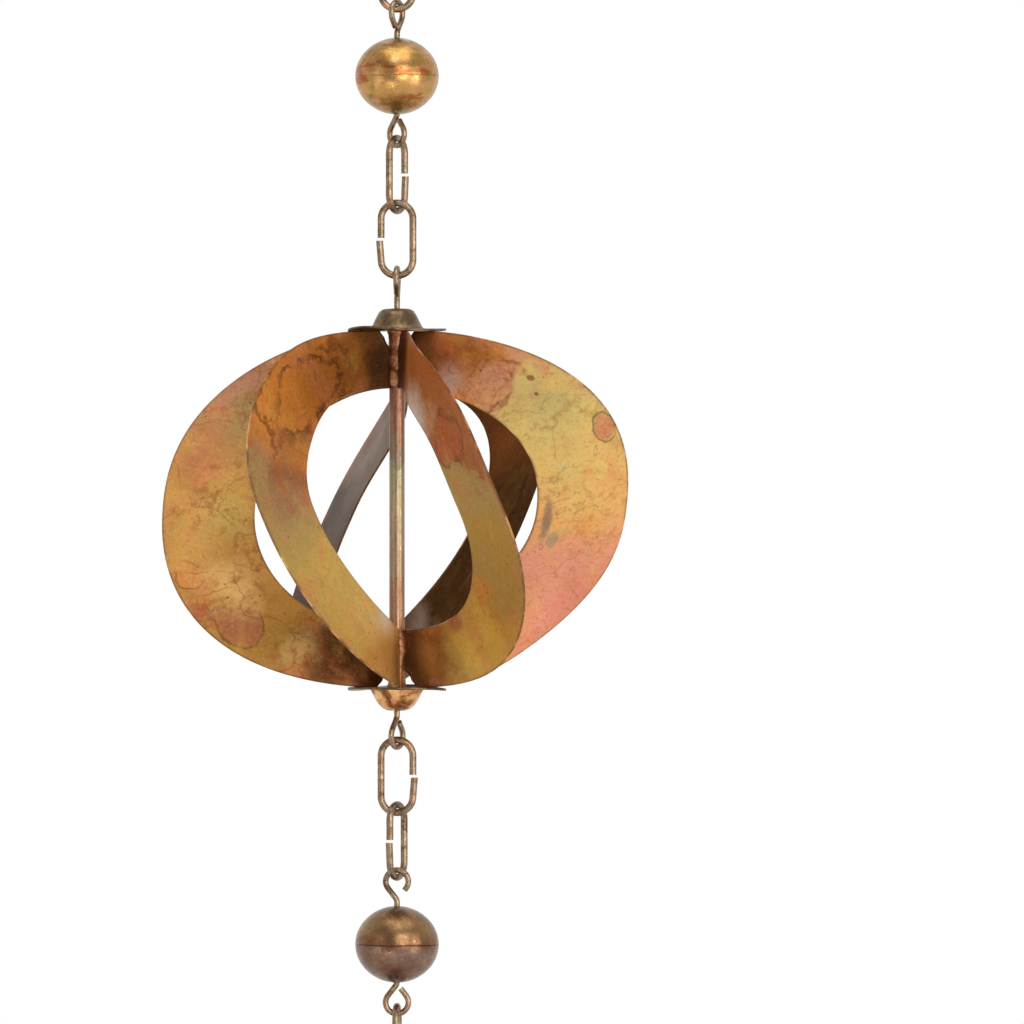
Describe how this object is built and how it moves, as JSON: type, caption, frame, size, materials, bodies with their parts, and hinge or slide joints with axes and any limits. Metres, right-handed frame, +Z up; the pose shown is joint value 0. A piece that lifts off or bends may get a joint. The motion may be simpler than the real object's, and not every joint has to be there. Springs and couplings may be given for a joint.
{
  "type": "rain chain",
  "caption": "Hanging rain chain: split wire links, hollow metal balls and open spinners of twisted crescent blades below a wire hook, guiding roof water down from a gutter.",
  "frame": {"origin": "the underside of the hook's bend, at its highest point, where the chain hangs on its support", "axes": "+Z up along the chain, +X to the right across the hook, +Y away from the viewer"},
  "size_m": [0.1536, 0.1471, 1.2639],
  "materials": {
    "blade": "flame-coloured copper sheet, satin, ochre to orange brown with pink and olive patches",
    "ball": "flame-coloured pressed copper, semi-gloss, golden to dark brown",
    "cap": "heat-browned copper, satin",
    "tube": "copper tube, brushed along its length, browned by heat",
    "wire": "antiqued copper wire, satin, dark in the bends"
  },
  "bodies": {
    "hook": {"hook": "wire"},
    "link_01": {"link_01": "wire"},
    "link_02": {"link_02": "wire"},
    "link_03": {"link_03": "wire"},
    "ball_1": {"ball_1_upper_shell": "ball", "ball_1_lower_shell": "ball", "ball_1_eye_wire": "wire"},
    "link_04": {"link_04": "wire"},
    "link_05": {"link_05": "wire"},
    "spinner_1": {"spinner_1_blades": "blade", "spinner_1_tube": "tube", "spinner_1_upper_disc": "cap", "spinner_1_lower_disc": "cap", "spinner_1_upper_cap": "cap", "spinner_1_lower_cap": "cap", "spinner_1_eye_wire": "wire"},
    "link_06": {"link_06": "wire"},
    "link_07": {"link_07": "wire"},
    "ball_2": {"ball_2_upper_shell": "ball", "ball_2_lower_shell": "ball", "ball_2_eye_wire": "wire"},
    "link_08": {"link_08": "wire"},
    "link_09": {"link_09": "wire"},
    "spinner_2": {"spinner_2_blades": "blade", "spinner_2_tube": "tube", "spinner_2_upper_disc": "cap", "spinner_2_lower_disc": "cap", "spinner_2_upper_cap": "cap", "spinner_2_lower_cap": "cap", "spinner_2_eye_wire": "wire"},
    "link_10": {"link_10": "wire"},
    "link_11": {"link_11": "wire"},
    "ball_3": {"ball_3_upper_shell": "ball", "ball_3_lower_shell": "ball", "ball_3_eye_wire": "wire"},
    "link_12": {"link_12": "wire"},
    "link_13": {"link_13": "wire"},
    "spinner_3": {"spinner_3_blades": "blade", "spinner_3_tube": "tube", "spinner_3_upper_disc": "cap", "spinner_3_lower_disc": "cap", "spinner_3_upper_cap": "cap", "spinner_3_lower_cap": "cap", "spinner_3_eye_wire": "wire"},
    "link_14": {"link_14": "wire"},
    "link_15": {"link_15": "wire"},
    "ball_4": {"ball_4_upper_shell": "ball", "ball_4_lower_shell": "ball", "ball_4_eye_wire": "wire"},
    "link_16": {"link_16": "wire"},
    "link_17": {"link_17": "wire"},
    "spinner_4": {"spinner_4_blades": "blade", "spinner_4_tube": "tube", "spinner_4_upper_disc": "cap", "spinner_4_lower_disc": "cap", "spinner_4_upper_cap": "cap", "spinner_4_lower_cap": "cap", "spinner_4_eye_wire": "wire"},
    "link_18": {"link_18": "wire"}
  },
  "joints": [
    {"name": "link_01_swing", "type": "hinge", "parent": "hook", "child": "link_01", "pos_m": [0, 0, -0.08702], "axis": [0, 1, 0], "range_deg": [-30, 30]},
    {"name": "link_02_swing", "type": "hinge", "parent": "link_01", "child": "link_02", "pos_m": [0, 0, -0.10807], "axis": [1, 0, 0], "range_deg": [-30, 30]},
    {"name": "link_03_swing", "type": "hinge", "parent": "link_02", "child": "link_03", "pos_m": [0, 0, -0.12917], "axis": [0, -1, 0], "range_deg": [-30, 30]},
    {"name": "ball_1_swing", "type": "hinge", "parent": "link_03", "child": "ball_1", "pos_m": [0, 0, -0.15027], "axis": [-1, 0, 0], "range_deg": [-30, 30]},
    {"name": "link_04_swing", "type": "hinge", "parent": "ball_1", "child": "link_04", "pos_m": [0, 0, -0.19467], "axis": [0.6428, -0.766, 0], "range_deg": [-30, 30]},
    {"name": "link_05_swing", "type": "hinge", "parent": "link_04", "child": "link_05", "pos_m": [0, 0, -0.21597], "axis": [0.4695, 0.8829, 0], "range_deg": [-30, 30]},
    {"name": "spinner_1_swing", "type": "hinge", "parent": "link_05", "child": "spinner_1", "pos_m": [0, 0, -0.23707], "axis": [-0.9976, 0.0698, 0], "range_deg": [-30, 30]},
    {"name": "link_06_swing", "type": "hinge", "parent": "spinner_1", "child": "link_06", "pos_m": [0, 0, -0.39067], "axis": [-0.5, -0.866, 0], "range_deg": [-30, 30]},
    {"name": "link_07_swing", "type": "hinge", "parent": "link_06", "child": "link_07", "pos_m": [0, 0, -0.41197], "axis": [0.9976, -0.0698, 0], "range_deg": [-30, 30]},
    {"name": "ball_2_swing", "type": "hinge", "parent": "link_07", "child": "ball_2", "pos_m": [0, 0, -0.43307], "axis": [0.4384, 0.8988, 0], "range_deg": [-30, 30]},
    {"name": "link_08_swing", "type": "hinge", "parent": "ball_2", "child": "link_08", "pos_m": [0, 0, -0.47747], "axis": [-1, 0, 0], "range_deg": [-30, 30]},
    {"name": "link_09_swing", "type": "hinge", "parent": "link_08", "child": "link_09", "pos_m": [0, 0, -0.49877], "axis": [-0.0698, -0.9976, 0], "range_deg": [-30, 30]},
    {"name": "spinner_2_swing", "type": "hinge", "parent": "link_09", "child": "spinner_2", "pos_m": [0, 0, -0.51987], "axis": [1, 0, 0], "range_deg": [-30, 30]},
    {"name": "link_10_swing", "type": "hinge", "parent": "spinner_2", "child": "link_10", "pos_m": [0, 0, -0.67347], "axis": [0.0698, 0.9976, 0], "range_deg": [-30, 30]},
    {"name": "link_11_swing", "type": "hinge", "parent": "link_10", "child": "link_11", "pos_m": [0, 0, -0.69477], "axis": [-0.9976, -0.0698, 0], "range_deg": [-30, 30]},
    {"name": "ball_3_swing", "type": "hinge", "parent": "link_11", "child": "ball_3", "pos_m": [0, 0, -0.71587], "axis": [-0.3746, -0.9272, 0], "range_deg": [-30, 30]},
    {"name": "link_12_swing", "type": "hinge", "parent": "ball_3", "child": "link_12", "pos_m": [0, 0, -0.76027], "axis": [0.2756, 0.9613, 0], "range_deg": [-30, 30]},
    {"name": "link_13_swing", "type": "hinge", "parent": "link_12", "child": "link_13", "pos_m": [0, 0, -0.78157], "axis": [1, 0, 0], "range_deg": [-30, 30]},
    {"name": "spinner_3_swing", "type": "hinge", "parent": "link_13", "child": "spinner_3", "pos_m": [0, 0, -0.80267], "axis": [-0.4695, -0.8829, 0], "range_deg": [-30, 30]},
    {"name": "link_14_swing", "type": "hinge", "parent": "spinner_3", "child": "link_14", "pos_m": [0, 0, -0.95627], "axis": [-0.866, 0.5, 0], "range_deg": [-30, 30]},
    {"name": "link_15_swing", "type": "hinge", "parent": "link_14", "child": "link_15", "pos_m": [0, 0, -0.97757], "axis": [0.7071, 0.7071, 0], "range_deg": [-30, 30]},
    {"name": "ball_4_swing", "type": "hinge", "parent": "link_15", "child": "ball_4", "pos_m": [0, 0, -0.99867], "axis": [0.766, -0.6428, 0], "range_deg": [-30, 30]},
    {"name": "link_16_swing", "type": "hinge", "parent": "ball_4", "child": "link_16", "pos_m": [0, 0, -1.04307], "axis": [-0.866, 0.5, 0], "range_deg": [-30, 30]},
    {"name": "link_17_swing", "type": "hinge", "parent": "link_16", "child": "link_17", "pos_m": [0, 0, -1.06437], "axis": [-0.7071, -0.7071, 0], "range_deg": [-30, 30]},
    {"name": "spinner_4_swing", "type": "hinge", "parent": "link_17", "child": "spinner_4", "pos_m": [0, 0, -1.08547], "axis": [0.7071, -0.7071, 0], "range_deg": [-30, 30]},
    {"name": "link_18_swing", "type": "hinge", "parent": "spinner_4", "child": "link_18", "pos_m": [0, 0, -1.23907], "axis": [0.2588, 0.9659, 0], "range_deg": [-30, 30]}
  ]
}
